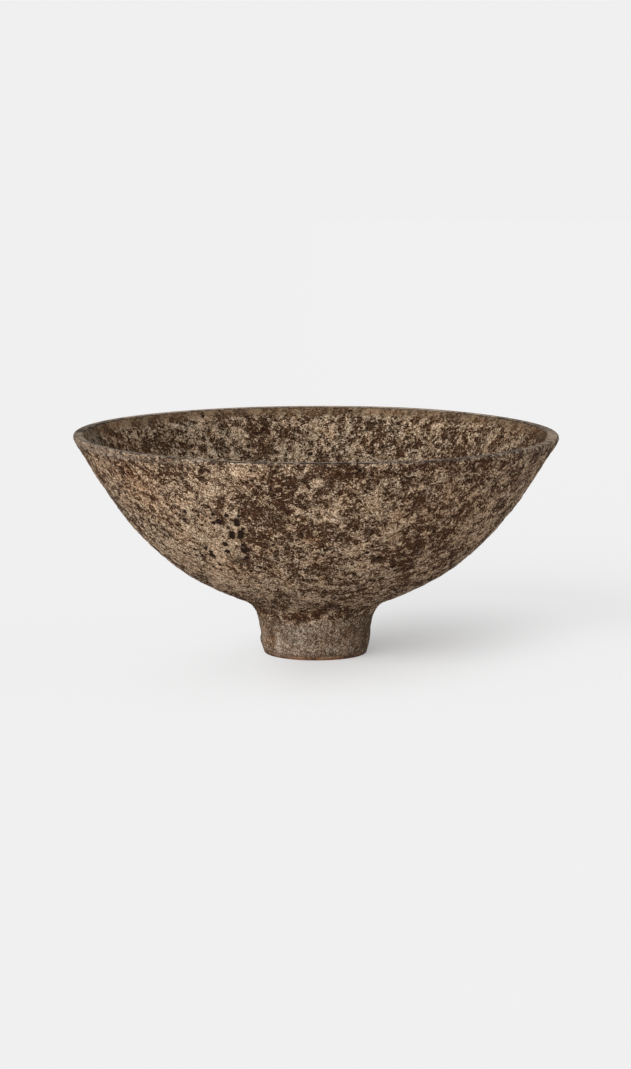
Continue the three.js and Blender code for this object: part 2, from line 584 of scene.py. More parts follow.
FOOT_BLOTCHES = (
    (-15, 28, 3.5, -1.6),
    (2, 31, 3, -1.3),
    (8, 22, 6, 1.3),
    (-5, 8, 5, 0.8),
    (-20, 20, 5, 0.6),
    (-42, 14, 2.4, 2.0),
    (-42, 11, 2.4, 2.0),
    (-43, 8, 2.4, 1.8),
    (-43, 5, 2.4, 1.4),
    (-31, 25, 4, -0.4),
    (-41, 21, 4, 0.4),
    (-29, 6, 3, 0.4),
    (13, 31, 4, 0.5),
    (36, 24, 3.5, 0.5),
    (10, 14, 3, 0.4),
    (-5, 28, 3, -0.5),
    (-12, 14, 4, -0.3),
    (19, 23, 4, -0.3),
    (-57, 18, 4, -1.4),
    (25, 8, 4, 0.6),
    (34, 29, 5, -0.6),
    (-50, 14, 3.5, -0.4),
    (-37, 14, 2.5, -0.4),
    (-20, 14, 9, 0.4),
    (-33, 8, 4, 0.5),
    (5, 14, 4, -0.3),
    (22, 16, 5, -0.2),
    (14, 9, 5, 0.2),
    (30, 22, 4, 0.2),
    (34, 11, 5, 0.3),
    (42, 19, 5, -0.8),
    (62, 15, 9, -0.2),
    (-66, 16, 6, 0.9),
    (-72, 8, 5, 0.6),
    (24, 27, 4, 0.2),
)
OUTER_RUST = (
    (-52, 110, 20, 0.8),
    (-50, 123, 12, 1.2),
    (-70, 118, 14, 0.8),
    (-75, 129, 11, 0.7),
    (26, 106, 16, 0.4),
    (45, 100, 34, 0.8),
    (45, 60, 22, 0.5),
    (-29, 66, 8, 0.6),
    (-17, 129, 5, 0.7),
    (14, 131, 3, 1.2),
    (34, 119, 6, 0.9),
    (-2, 88, 5, 0.8),
    (24, 88, 4, 0.6),
)
INNER_RUST = (
    (133, 123, 12, 0.7),
    (112, 127, 16, 0.3),
    (-98, 133, 18, -1.2),
    (-115, 122, 25, 0.9),
    (-168, 122, 8, 0.3),
)
FOOT_RUST = (
    (-66, 17, 6, 1.8),
    (-62, 8, 6, 1.3),
    (-58, 25, 6, 1.0),
    (36, 14, 9, 0.7),
    (0, 31, 12, 0.5),
    (-50, 12, 4, 1.0),
    (-36, 9, 3, 0.4),
    (6, 13, 4, 0.7),
    (-44, 18, 3, 0.8),
    (62, 14, 8, 1.0),
)
FOOT_TOAST = (
    (-16, 1.5, 6, 0.9),
    (4, 1.5, 4, 0.5),
    (20, 1.5, 7, 0.9),
    (140, 1.5, 14, 0.8),
    (-120, 1.5, 10, 0.7),
)
# Pits placed one by one: (degrees round, height, radius)
OUTER_HOLES = (
    (-24.7, 88.4, 1.9),
    (-24.2, 91.2, 1.7),
    (-21.9, 88.9, 1.8),
    (-21.4, 91.8, 2.0),
    (-20.3, 94.5, 1.2),
    (-21.8, 97.3, 1.7),
    (-21.6, 99.8, 1.7),
    (-24.8, 94.5, 1.2),
    (-27.0, 98.0, 2.1),
    (-29.0, 97.0, 1.1),
    (-28.0, 103.0, 1.2),
    (-24.0, 102.5, 1.3),
    (-20.5, 103.0, 1.1),
    (-37.0, 103.0, 1.2),
    (-33.0, 101.0, 1.0),
    (-38.5, 97.5, 1.1),
    (-39.0, 85.0, 1.0),
    (-28.0, 83.0, 1.8),
    (-22.0, 83.0, 1.4),
    (-22.6, 79.3, 1.8),
    (-21.2, 80.0, 1.4),
    (-28.5, 78.0, 1.8),
    (-41.5, 77.0, 1.3),
    (-36.5, 79.0, 1.4),
    (-35.0, 77.0, 1.2),
    (-35.5, 74.0, 2.2),
    (-34.8, 68.0, 1.3),
    (-36.3, 64.0, 1.2),
    (-22.5, 74.5, 1.3),
    (20.5, 75.0, 1.6),
    (16.0, 79.0, 1.3),
    (3.0, 81.5, 1.2),
    (10.0, 133.0, 1.2),
)
INNER_HOLES = (
    (-160.2, 114.0, 1.4),
    (-160.0, 110.5, 1.0),
    (-166.5, 129.0, 1.1),
    (-178.0, 116.0, 1.2),
    (-178.5, 108.5, 1.5),
    (176.5, 107.5, 1.3),
    (175.0, 110.0, 1.0),
    (170.0, 114.0, 1.2),
    (160.0, 113.5, 1.2),
    (159.5, 110.5, 1.1),
    (155.5, 119.0, 1.3),
    (147.0, 123.0, 1.5),
    (149.5, 126.0, 1.0),
    (-174.0, 118.0, 1.1),
    (-172.0, 115.0, 1.0),
    (-165.0, 110.0, 1.1),
    (137.0, 121.0, 1.2),
)

# Along the lip: (degrees round, height, reach, amount)
LIP_TONES = (
    (-75, 137, 60, 0.5),
    (40, 137, 50, -0.4),
    (85, 137, 30, 0.8),
    (150, 137, 60, 1.2),
    (180, 137, 50, 1.0),
    (-150, 137, 60, 1.0),
    (-130, 137, 30, 0.8),
    (-95, 137, 18, -0.9),
)
LIP_SMOOTH = (
    (92, 137, 60, 1.0),
    (-95, 137, 25, 0.5),
)
LIP_THIN = (
    (-80, 136, 35, 1.0),
    (-55, 136, 30, 0.9),
    (-33, 136, 18, 0.5),
    (65, 136, 30, 0.5),
    (110, 136, 40, 0.8),
    (180, 136, 60, 0.8),
    (-130, 136, 50, 0.8),
)
LIP_LINE = (
    (-18, 137, 25, 0.7),
    (5, 137, 30, 0.9),
    (30, 137, 24, 0.35),
    (85, 137, 22, 0.6),
    (130, 137, 70, 0.8),
    (-150, 137, 70, 0.8),
    (180, 137, 70, 0.6),
)


# Where the inner glaze was wiped back from the lip: (degrees round, height, reach, share)
INNER_BARE = (
    (83, 137, 14, 1.0),
)


def scattered(seed, first, last, low, high, count, reach, amount):
    """Blotches strewn over a stretch by seeded draws, which give the same ones each time."""
    pick = np.random.default_rng(seed)
    return tuple(
        (
            pick.uniform(first, last),
            pick.uniform(low, high),
            pick.uniform(0.6, 1.4) * reach,
            pick.choice((-1.0, 1.0)) * pick.uniform(0.4, 1.1) * amount,
        )
        for _ in range(count)
    )


def paint(piece, clay, **layers):
    """Lays soft blotches on a piece. Each layer becomes one number at each vertex."""
    places = np.empty(len(piece.data.vertices) * 3)
    piece.data.vertices.foreach_get("co", places)
    places = places.reshape(-1, 3) / MM
    heights = clay[np.argsort(clay[:, 1])]
    for name, blotches in layers.items():
        total = np.zeros(len(places))
        for degrees, height, reach, amount in blotches:
            turn = math.radians(degrees)
            radius = np.interp(height, heights[:, 1], heights[:, 0])
            centre = (radius * math.sin(turn), -radius * math.cos(turn), height)
            distance = np.linalg.norm(places - centre, axis=1)
            total += amount * np.exp(-((distance / reach) ** 2))
        piece.data.attributes.new(name, "FLOAT", "POINT").data.foreach_set("value", total)


# Node trees written as formulas

NOISE_SPREAD = 0.131  # of one octave of the noise texture, round its middle
CRUMB_SPREAD = 0.289  # of random values between 0 and 1

# How far each unit of a seed moves the place at which a texture is read
NOISE_SHIFT = (31.7, 17.3, -11.9)
CRUMB_SHIFT = (13.9, -23.1, 9.7)
SPOT_SHIFT = (7.1, -13.3, 19.9)
SPOT_EDGE = (-0.15, 0.25)  # depths between which a spot sets in


def spread_of(octave, detail, roughness):
    """Spread of a sum of octaves, of which the first has this spread."""
    octaves = roughness ** np.arange(detail + 1)
    return octave * math.sqrt((octaves**2).sum()) / octaves.sum()


class Signal:
    """A number that varies over the surface."""

    def __init__(self, net, socket):
        self.net = net
        self.socket = socket

    def __add__(self, other):
        return self.net.math("ADD", self, other)

    def __sub__(self, other):
        return self.net.math("SUBTRACT", self, other)

    def __rsub__(self, other):
        return self.net.math("SUBTRACT", other, self)

    def __mul__(self, other):
        return self.net.math("MULTIPLY", self, other)

    def step(self, low, high):
        """Smooth rise from 0 at low to 1 at high. With low over high it falls."""
        made = self.net.node("ShaderNodeMapRange", interpolation_type="SMOOTHSTEP")
        ends = (0.0, 1.0) if low < high else (1.0, 0.0)
        names = ("Value", "From Min", "From Max", "To Min", "To Max")
        for name, value in zip(names, (self, min(low, high), max(low, high), *ends)):
            self.net.feed(made.inputs[name], value)
        return Signal(self.net, made.outputs["Result"])


class Net:
    """A node tree for a material or for geometry nodes, which share their formulas."""

    def __init__(self, tree):
        self.tree = tree
        self.on_mesh = tree.type == "GEOMETRY"

    def node(self, kind, *values, **settings):
        """A new node, with the values fed to its first inputs."""
        made = self.tree.nodes.new(kind)
        for name, value in settings.items():
            setattr(made, name, value)
        for socket, value in zip(made.inputs, values):
            self.feed(socket, value)
        return made

    def feed(self, socket, value):
        value = value.socket if isinstance(value, Signal) else value
        if isinstance(value, bpy.types.NodeSocket):
            self.tree.links.new(value, socket)
        else:
            socket.default_value = value

    def math(self, operation, *values):
        made = self.node("ShaderNodeMath", *values, operation=operation)
        return Signal(self, made.outputs[0])

    def vector(self, operation, *values, output="Vector"):
        made = self.node("ShaderNodeVectorMath", *values, operation=operation)
        return made.outputs[output]

    def place(self):
        """Where a point of the piece is, in millimetres."""
        if self.on_mesh:
            metres = self.node("GeometryNodeInputPosition").outputs["Position"]
        else:
            metres = self.node("ShaderNodeTexCoord").outputs["Object"]
        return self.vector("DIVIDE", metres, (MM, MM, MM))

    def split(self, vector):
        made = self.node("ShaderNodeSeparateXYZ", vector)
        return [Signal(self, socket) for socket in made.outputs]

    def join(self, x, y, z):
        return self.node("ShaderNodeCombineXYZ", x, y, z).outputs[0]

    def painted(self, name):
        """A number laid on the piece's vertices."""
        if self.on_mesh:
            made = self.node("GeometryNodeInputNamedAttribute", name, data_type="FLOAT")
            return Signal(self, made.outputs["Attribute"])
        made = self.node("ShaderNodeAttribute", attribute_name=name)
        return Signal(self, made.outputs["Fac"])

    def texture(self, kind, shift, where, size, seed, detail=0.0, roughness=0.5):
        """A texture with lumps or cells of this size, which the seed shifts to its own place."""
        made = self.node("ShaderNodeTex" + kind)
        place = self.vector("ADD", where, tuple(seed * step for step in shift))
        names = ("Vector", "Scale", "Detail", "Roughness")
        for name, value in zip(names, (place, 1.0 / size, detail, roughness)):
            self.feed(made.inputs[name], value)
        return made

    def noise(self, where, size, detail=2.0, roughness=0.5, seed=0):
        """Noise round 0 with a spread of 1, its largest lumps about the given size."""
        made = self.texture("Noise", NOISE_SHIFT, where, size, seed, detail, roughness)
        spread = spread_of(NOISE_SPREAD, detail, roughness)
        return (Signal(self, made.outputs[0]) - 0.5) * (1.0 / spread)

    def crumbs(self, where, size, detail, roughness, seed):
        """Angular crumbs of random values round 0 with a spread of 1, the largest of this size
        and each next detail half as large."""
        made = self.texture("Voronoi", CRUMB_SHIFT, where, size, seed, detail, roughness)
        made.normalize = True
        spread = spread_of(CRUMB_SPREAD, detail, roughness)
        return (self.split(made.outputs["Color"])[0] - 0.5) * (1.0 / spread)

    def warped(self, where, size, reach, seed):
        """The place shifted by up to about the reach, so that shapes get ragged edges."""
        made = self.texture("Noise", NOISE_SHIFT, where, size, seed, 2.0, 0.6)
        push = self.vector("SUBTRACT", made.outputs["Color"], (0.5, 0.5, 0.5))
        push = self.vector("MULTIPLY", push, (4 * reach, 4 * reach, 4 * reach))
        return self.vector("ADD", where, push)

    def spots(self, where, gap, largest, share, seed):
        """Spots of mixed sizes, in a share of the cells: 1 inside and 0 outside."""
        made = self.texture("Voronoi", SPOT_SHIFT, where, gap, seed)
        lot = self.split(made.outputs["Color"])[0]
        size = (lot - (1.0 - share)) * (largest / share)
        inside = size - Signal(self, made.outputs["Distance"]) * gap
        return inside.step(*SPOT_EDGE)

    def mix(self, factor, a, b):
        """From colour a to colour b as the factor goes from 0 to 1."""
        made = self.node("ShaderNodeMix", data_type="RGBA")
        for index, value in ((0, factor), (6, a), (7, b)):
            self.feed(made.inputs[index], value)
        return made.outputs[2]

    def ramp(self, signal, stops):
        """A colour for each value of the signal."""
        made = self.node("ShaderNodeValToRGB", signal)
        elements = made.color_ramp.elements
        while len(elements) < len(stops):
            elements.new(0.5)
        for element, (position, colour) in zip(elements, stops):
            element.position = position
            element.color = rgba(colour)
        return made.outputs[0]


def rgba(colour):
    """A colour in 0 to 255, as it shows on a screen, in Blender's linear terms."""
    linear = [
        c / 255 / 12.92 if c <= 10 else ((c / 255 + 0.055) / 1.055) ** 2.4 for c in colour
    ]
    return (*linear, 1.0)


# The glaze

GLAZE_STOPS = (
    (0.0, (36, 21, 11)),
    (0.2, (56, 36, 23)),
    (0.5, (80, 60, 45)),
    (0.8, (119, 95, 73)),
    (1.0, (212, 189, 161)),
)
INNER_STOPS = (
    (0.0, (30, 18, 9)),
    (0.2, (51, 34, 21)),
    (0.5, (88, 68, 50)),
    (0.8, (132, 110, 87)),
    (1.0, (204, 185, 161)),
)
FOOT_STOPS = (
    (0.0, (44, 33, 25)),
    (0.2, (64, 50, 39)),
    (0.5, (91, 73, 57)),
    (0.8, (121, 102, 84)),
    (1.0, (168, 150, 130)),
)
LIP_STOPS = (
    (0.0, (36, 29, 24)),
    (0.5, (92, 79, 68)),
    (1.0, (158, 140, 120)),
)
# Colour of the dark line on the lip's outer edge, and of the painted shade line at its inner edge
LINE_AND_SHADE_COLOUR = (30, 25, 21)
BURNT_COLOUR = (78, 54, 40)
FILM_COLOURS = ((58, 44, 34), (124, 104, 86))
SPECK_COLOUR = (46, 30, 20)
FOOT_CLAY_COLOURS = ((62, 43, 32), (96, 68, 49), (40, 28, 21))  # dark, light and specks
JOINING_CLAY_COLOURS = ((92, 66, 50), (130, 100, 78), (52, 38, 30))
TOAST_COLOUR = (112, 75, 48)
PIT_COLOUR = (34, 23, 17)
GLAZE_SHINE = 0.06
CLAY_SHINE = 0.1
WIPED_DEPTH = 5.0

# Sizes of what makes up the glaze, in millimetres
ZONE_SIZE = 34.0
PATCH_SIZE = 10.0
LUMP_SIZE = 6.0
CLUMP_SIZE = 2.8
GRAIN_SIZE = 0.85
PIT_GAP = 6.0
SPECK_GAP, SPECK_SIZE = 3.3, 0.9
FLECK_GAP, FLECK_SIZE = 3.0, 0.85
CRUST_EDGE = (-0.08, 0.14)  # levels between which the crust sets in
HOLE_EDGE = (0.3, 0.37)  # and a painted pit
TONE_RANGE = (-2.9, 3.1)  # the tones of a glaze's darkest and palest colours

# Relief of the glaze, in millimetres
CRUST_RISE = 0.26
LUMP_RISE = 0.1
CLUMP_RISE = 0.05
PIT_DEPTH = 0.45

# Heights between which a look of the glaze or the clay sets in, or dies away
RUN_BELOW = 24.0  # below this the glaze has run, which draws its shapes out
RUN_SQUEEZE = 0.4
FOOT_LOOK_FADE = (29.0, 20.0)
# Painted shade: between these heights the glaze round the neck, in the crease under the bowl, is
# darkened
NECK_SHADE_START = (24.0, 30.0)
NECK_SHADE_END = (46.0, 34.0)
CALM_START = (130.0, 135.0)
THIN_START = (133.4, 134.6)
WIPED_START = (136.9, 137.2)
BURNT_FADE = (3.7, 2.8)
FILM_START = (1.6, 2.0)

# Lengths along the lip's outline from its outer edge, between which its looks change
LIP_FILM = (0.6, 0.9)  # down the wall
EDGE_LINE_START = (-0.65, -0.45)
EDGE_LINE_END = (0.3, 0.1)
# Painted shade: a dark line along the lip's inner edge, painted only behind the axis
INNER_SHADE_LINE_START = (4.95, 5.3)
INNER_SHADE_LINE_BACK = (0.0, 50.0)  # and how far behind the axis the painted shade line on the lip's inner edge sets in


# What sets one coat off from the others: its colours, how strong its broad mottling and its
# grain are, how grey it is, how far it evens out just under the lip, which share of its cells
# has a pit, and the largest of these pits
Look = namedtuple("Look", "stops broad grain grey calm pit_share pit_size")
OUTER_LOOK = Look(GLAZE_STOPS, 1.0, 0.95, 0.0, 0.0, 0.4, 1.6)
INNER_LOOK = Look(INNER_STOPS, 0.95, 1.0, 0.12, 0.55, 0.85, 1.5)
FOOT_LOOK = Look(FOOT_STOPS, 1.0, 0.95, 0.0, 0.0, 0.2, 1.0)


class Glaze:
    """The signals of the dry glaze, shared by its relief and its colour."""

    def __init__(self, net, look):
        x, y, height = net.split(net.place())
        runs = net.math("MAXIMUM", height, (height - RUN_BELOW) * RUN_SQUEEZE + RUN_BELOW)
        place = net.join(x, y, height)
        flowing = net.join(x, y, runs)
        ragged = net.warped(flowing, 4.5, 1.1, seed=1)
        crumbled = net.warped(ragged, 1.6, 0.4, seed=11)
        self.height = height
        self.foot = height.step(*FOOT_LOOK_FADE)
        self.tone = net.painted("tone")
        zone = net.noise(ragged, ZONE_SIZE, 2.0, 0.6, seed=2)
        patch = net.noise(ragged, PATCH_SIZE, 4.0, 0.8, seed=3)
        # Painted shade: the glaze round the neck, in the crease under the bowl, is made darker
        neck = height.step(*NECK_SHADE_START) * height.step(*NECK_SHADE_END)
        blotch = net.math("TANH", self.tone * 1.1) * 2.0
        self.level = zone * 0.15 + patch * 0.6 + blotch - neck * 0.28
        self.clump = net.crumbs(crumbled, CLUMP_SIZE, 2.0, 0.75, seed=4)
        gritty = net.warped(place, 1.0, 0.2, seed=14)
        self.grain = net.crumbs(gritty, GRAIN_SIZE, 1.0, 0.8, seed=5)
        self.crust = (self.level + self.clump * 0.75 + self.grain * 0.2).step(*CRUST_EDGE)
        torn = net.warped(ragged, 2.6, 1.0, seed=16)
        holes = net.painted("holes") + self.clump * 0.08 + self.grain * 0.05
        small = net.spots(torn, PIT_GAP, look.pit_size, look.pit_share, 6)
        self.pits = net.math("MAXIMUM", holes.step(*HOLE_EDGE), small)
        self.specks = net.spots(torn, SPECK_GAP, SPECK_SIZE, 0.55, 12) * self.crust
        self.flecks = net.spots(torn, FLECK_GAP, FLECK_SIZE, 0.5, 19) * (1.0 - self.crust)
        self.lumps = net.noise(ragged, LUMP_SIZE, 1.0, 0.5, seed=8)


def relief_formula(net, look):
    """How far the glaze stands out from its mean face, in millimetres."""
    glaze = Glaze(net, look)
    height = glaze.crust * CRUST_RISE + glaze.lumps * LUMP_RISE + glaze.clump * CLUMP_RISE
    return height - glaze.pits * PIT_DEPTH


def new_material(name):
    """A material, its node net and its shader."""
    material = bpy.data.materials.new(name)
    material.use_nodes = True
    shader = material.node_tree.nodes["Principled BSDF"]
    return material, Net(material.node_tree), shader


def surface(net, shader, colour, roughness, shine, height):
    """Sets how a face looks, with fine relief in its shading from a height in millimetres."""
    bump = net.node("ShaderNodeBump")
    bump.inputs["Distance"].default_value = MM
    net.feed(bump.inputs["Height"], height)
    net.feed(shader.inputs["Base Color"], colour)
    net.feed(shader.inputs["Roughness"], roughness)
    net.feed(shader.inputs["Specular IOR Level"], shine)
    net.feed(shader.inputs["Normal"], bump.outputs["Normal"])


def glaze_colour(net, glaze, look):
    """Pale crust over a dark ground, with grain, specks and pits. On the foot the mottling
    gives way to fine grain."""
    broad = glaze.crust * 2.0 - 0.95 + glaze.level * 0.2 + glaze.clump * 0.25
    dust = net.crumbs(net.place(), 0.6, 0.0, 0.5, seed=17)
    rubble = net.crumbs(net.warped(net.place(), 1.6, 0.4, seed=11), 1.7, 1.0, 0.8, seed=18)
    mixed = broad * (1.0 - glaze.foot * 0.75) * look.broad + glaze.foot * 0.12
    grain = look.grain - glaze.crust * (1.0 - glaze.foot) * 0.35 - glaze.foot * 0.2
    mixed = mixed + glaze.grain * grain + glaze.foot * (glaze.level * 0.15 + glaze.tone * 0.35)
    mixed = mixed + dust * (glaze.foot * 0.4 + 0.35) + glaze.flecks * 1.8
    mixed = mixed + rubble * (0.5 - glaze.crust * 0.4) * (1.0 - glaze.foot * 0.6)
    under_lip = glaze.height.step(*CALM_START) * look.calm
    mixed = mixed * (1.0 - under_lip) + under_lip * (glaze.tone * 0.8 + 0.4)
    tone = mixed.step(*TONE_RANGE)
    colour = net.ramp(tone, look.stops)
    if look is FOOT_LOOK:
        colour = net.mix(glaze.foot, net.ramp(tone, GLAZE_STOPS), colour)
    cast = net.crumbs(net.place(), 2.1, 1.0, 0.7, seed=15)
    hue = net.noise(net.place(), 13.0, 3.0, 0.6, seed=9) * 0.4 + cast * 0.5
    hue = (hue + net.painted("rust") * 1.6) * (1.1 - glaze.crust * 0.6)
    cool = glaze.foot * 0.8 + look.grey
    tint = net.vector(
        "ADD",
        net.vector("MULTIPLY", net.join(hue, hue, hue), (0.07, -0.01, -0.08)),
        net.vector("MULTIPLY", net.join(cool, cool, cool), (-0.05, 0.0, 0.07)),
    )
    colour = net.vector("MULTIPLY", colour, net.vector("ADD", tint, (1.0, 1.0, 1.0)))
    colour = net.mix(glaze.specks * 0.75, colour, rgba(SPECK_COLOUR))
    return net.mix(glaze.pits, colour, rgba(PIT_COLOUR))


def lip_colour(net):
    """Bare clay, light or dark as it is painted, and grainy unless it is painted as smooth."""
    cloud = net.noise(net.place(), 6.0, 3.0, 0.75, seed=20)
    grain = net.crumbs(net.place(), 1.3, 1.0, 0.8, seed=21)
    rough = 1.0 - net.painted("lip_smooth") * 0.75
    tone = (cloud * 0.8 + grain * 1.0) * rough + net.painted("lip_tone") * 1.5
    return net.ramp(tone.step(-2.5, 2.5), LIP_STOPS)


def glaze_material(name, look):
    """The dry mottled glaze. The clay shows through it just above the foot's bare line, and
    just under the lip where it is painted as thin."""
    material, net, shader = new_material(name)
    glaze = Glaze(net, look)
    colour = glaze_colour(net, glaze, look)
    if look is OUTER_LOOK:
        ragged = net.noise(net.place(), 3.0, 3.0, 0.7, seed=22)
        share = net.painted("thin")
        thin = (glaze.height + share + ragged * 0.5 + glaze.grain * 0.3).step(*THIN_START)
        colour = net.mix(thin * share, colour, lip_colour(net))
    if look is INNER_LOOK:
        wiped = net.painted("bare") * WIPED_DEPTH
        bare = (glaze.height + wiped + glaze.grain * 0.1).step(*WIPED_START)
        colour = net.mix(bare, colour, lip_colour(net))
    burnt = (glaze.height + glaze.clump * 0.4).step(*BURNT_FADE)
    colour = net.mix(burnt * 0.5, colour, rgba(BURNT_COLOUR))
    height = glaze.crust * 0.12 + glaze.grain * 0.06 - glaze.pits * 0.25
    surface(net, shader, colour, 0.9 - glaze.crust * 0.1, GLAZE_SHINE, height)
    return material


def bowl_clay_material():
    """The bowl's clay, which shows at the lip. A thin film of glaze reaches up its outer
    edge, and a dark line is painted along the sharp turn of the edge. Behind the axis a
    dark line of painted shade runs along the lip's inner edge."""
    material, net, shader = new_material("bowl_clay")
    glaze = Glaze(net, OUTER_LOOK)
    ragged = net.noise(net.place(), 3.0, 3.0, 0.7, seed=22)
    from_edge = net.painted("lip")
    film = (ragged * 0.5 - from_edge).step(*LIP_FILM)
    clay = lip_colour(net)
    colour = net.mix(film, clay, glaze_colour(net, glaze, OUTER_LOOK))
    line = from_edge.step(*EDGE_LINE_START) * from_edge.step(*EDGE_LINE_END)
    line = line * (net.painted("line") + ragged * 0.25).step(0.1, 0.8)
    # Painted shade: a dark line along the lip's inner edge behind the axis, mixed with the outer
    # edge's line
    behind = net.split(net.place())[1].step(*INNER_SHADE_LINE_BACK)
    inner = (from_edge + ragged * 0.15).step(*INNER_SHADE_LINE_START) * behind
    dark = net.math("MAXIMUM", line, inner * 0.85)
    colour = net.mix(dark, colour, rgba(LINE_AND_SHADE_COLOUR))
    surface(net, shader, colour, 0.85, CLAY_SHINE, glaze.grain * 0.06)
    return material


def clay_material(name, dark, light, speckle_colour, seed, toast=None):
    """Bare fired clay: two tones, fine grain and dark iron specks. With a toast colour, it
    turns to that where it is painted as toasted, and glaze has run down over its upper part."""
    material, net, shader = new_material(name)
    place = net.place()
    cloud = net.noise(place, 9.0, 4.0, 0.65, seed=seed)
    grain = net.noise(place, 1.1, 2.0, 0.7, seed=seed + 1)
    specks = net.spots(place, 4.0, 0.6, 0.4, seed=seed + 2)
    tone = (cloud * 0.6 + grain * 0.8).step(-2.2, 2.2)
    colour = net.mix(tone, rgba(dark), rgba(light))
    if toast:
        toasted = (net.painted("toast") * 2.0 + cloud * 0.5 + grain * 0.3).step(0.3, 1.3)
        colour = net.mix(toasted, colour, rgba(toast))
        height = net.split(place)[2]
        film = (height + cloud * 0.35 + grain * 0.35).step(*FILM_START)
        colour = net.mix(film, colour, net.mix(tone, rgba(FILM_COLOURS[0]), rgba(FILM_COLOURS[1])))
    colour = net.mix(specks * 0.8, colour, rgba(speckle_colour))
    surface(net, shader, colour, 0.85 - tone * 0.15, CLAY_SHINE, grain * 0.04 + cloud * 0.04)
    return material


# Relief pressed into the meshes

def press(piece, look):
    """Moves the faces of a coat along their normals by the glaze's relief."""
    tree = bpy.data.node_groups.new(piece.name + "_relief", "GeometryNodeTree")
    for way in ("INPUT", "OUTPUT"):
        tree.interface.new_socket("Geometry", in_out=way, socket_type="NodeSocketGeometry")
    net = Net(tree)
    start = net.node("NodeGroupInput")
    end = net.node("NodeGroupOutput")
    moved = net.node("GeometryNodeSetPosition")
    normal = net.node("GeometryNodeInputNormal").outputs[0]
    height = relief_formula(net, look) * net.painted("relief") * MM
    offset = net.vector("MULTIPLY", normal, net.join(height, height, height))
    net.feed(moved.inputs["Offset"], offset)
    tree.links.new(start.outputs[0], moved.inputs["Geometry"])
    tree.links.new(moved.outputs[0], end.inputs[0])
    modifier = piece.modifiers.new("relief", "NODES")
    modifier.node_group = tree
    ready = bpy.context.evaluated_depsgraph_get()
    pressed = bpy.data.meshes.new_from_object(piece.evaluated_get(ready))
    piece.modifiers.clear()
    plain = piece.data
    piece.data = pressed
    bpy.data.meshes.remove(plain)


def dress(piece, material, node):
    """Gives a piece its finish and its body, and hides the CAD node that it stands for."""
    piece.data.materials.append(material)
    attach(piece, "root")
    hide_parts(node)


# The pieces

def full_depth(holes):
    """Pits as blotches of the full amount."""
    return [(*hole, 1.0) for hole in holes]


def build_coats():
    """The coats outside, inside and on the foot."""
    rows, relief = coat_outline(outer_wall, open_end=True)
    outer = turned("outer_coat", rows, BOWL_TURNS, relief=relief)
    paint(
        outer,
        outer_wall,
        tone=OUTER_PALE + OUTER_DARK + scattered(5, 85, 275, 40, 134, 80, 7.5, 0.65),
        rust=OUTER_RUST + scattered(6, 85, 275, 50, 130, 9, 9, 0.9),
        holes=full_depth(OUTER_HOLES),
        thin=LIP_THIN,
        lip_tone=LIP_TONES,
    )
    press(outer, OUTER_LOOK)
    dress(outer, glaze_material("outer_glaze", OUTER_LOOK), "outer_glaze")

    rows, relief = coat_outline(inner_wall, INNER_ROW, open_start=True)
    inner = turned("inner_coat", rows, BOWL_TURNS, relief=relief)
    front = scattered(8, -80, 80, 60, 134, 48, 7.5, 0.6)
    low = scattered(9, 80, 280, 41, 100, 40, 8, 0.6)
    flecks = scattered(14, -158, -105, 106, 133, 34, 2.6, 1.2)
    paint(
        inner,
        inner_wall,
        tone=INNER_PALE + INNER_DARK + front + low + flecks,
        rust=INNER_RUST + scattered(10, -180, 180, 45, 130, 8, 9, 0.7),
        holes=full_depth(INNER_HOLES),
        bare=INNER_BARE,
        lip_tone=LIP_TONES,
        lip_smooth=LIP_SMOOTH,
    )
    press(inner, INNER_LOOK)
    dress(inner, glaze_material("inner_glaze", INNER_LOOK), "inner_glaze")

    rows, relief = coat_outline(foot_line, open_start=True)
    foot = turned("foot_coat", rows, FOOT_TURNS, relief=relief)
    paint(
        foot,
        foot_line,
        tone=FOOT_BLOTCHES + scattered(12, 85, 275, 3, 32, 16, 5, 0.7),
        rust=FOOT_RUST + scattered(13, 85, 275, 3, 28, 6, 4, 0.9),
        holes=(),
    )
    press(foot, FOOT_LOOK)
    dress(foot, glaze_material("foot_glaze", FOOT_LOOK), "foot_glaze")


def build_clay():
    """The bowl, the foot ring, the slip and the coil."""
    foot_clay = clay_material("foot_clay", *FOOT_CLAY_COLOURS, 30, toast=TOAST_COLOUR)
    slip_clay = clay_material("joining_clay", *JOINING_CLAY_COLOURS, 40)
    rows, from_edge = bowl_outline()
    bowl = turned("bowl_clay", rows, BOWL_TURNS, lip=from_edge)
    paint(
        bowl,
        outer_wall,
        tone=OUTER_PALE + OUTER_DARK,
        rust=OUTER_RUST,
        holes=(),
        lip_tone=LIP_TONES,
        lip_smooth=LIP_SMOOTH,
        line=LIP_LINE,
    )
    dress(bowl, bowl_clay_material(), "bowl_body")
    foot = turned("foot_clay", foot_outline(), FOOT_TURNS)
    paint(foot, foot_line, toast=FOOT_TOAST)
    dress(foot, foot_clay, "foot_ring")
    slip = turned("slip", SLIP_OUTLINE, HIDDEN_TURNS)
    dress(slip, slip_clay, "joint_slip")
    coil = turned("coil", COIL_OUTLINE, HIDDEN_TURNS)
    dress(coil, slip_clay, "neck_coil")


# Floor, light and camera

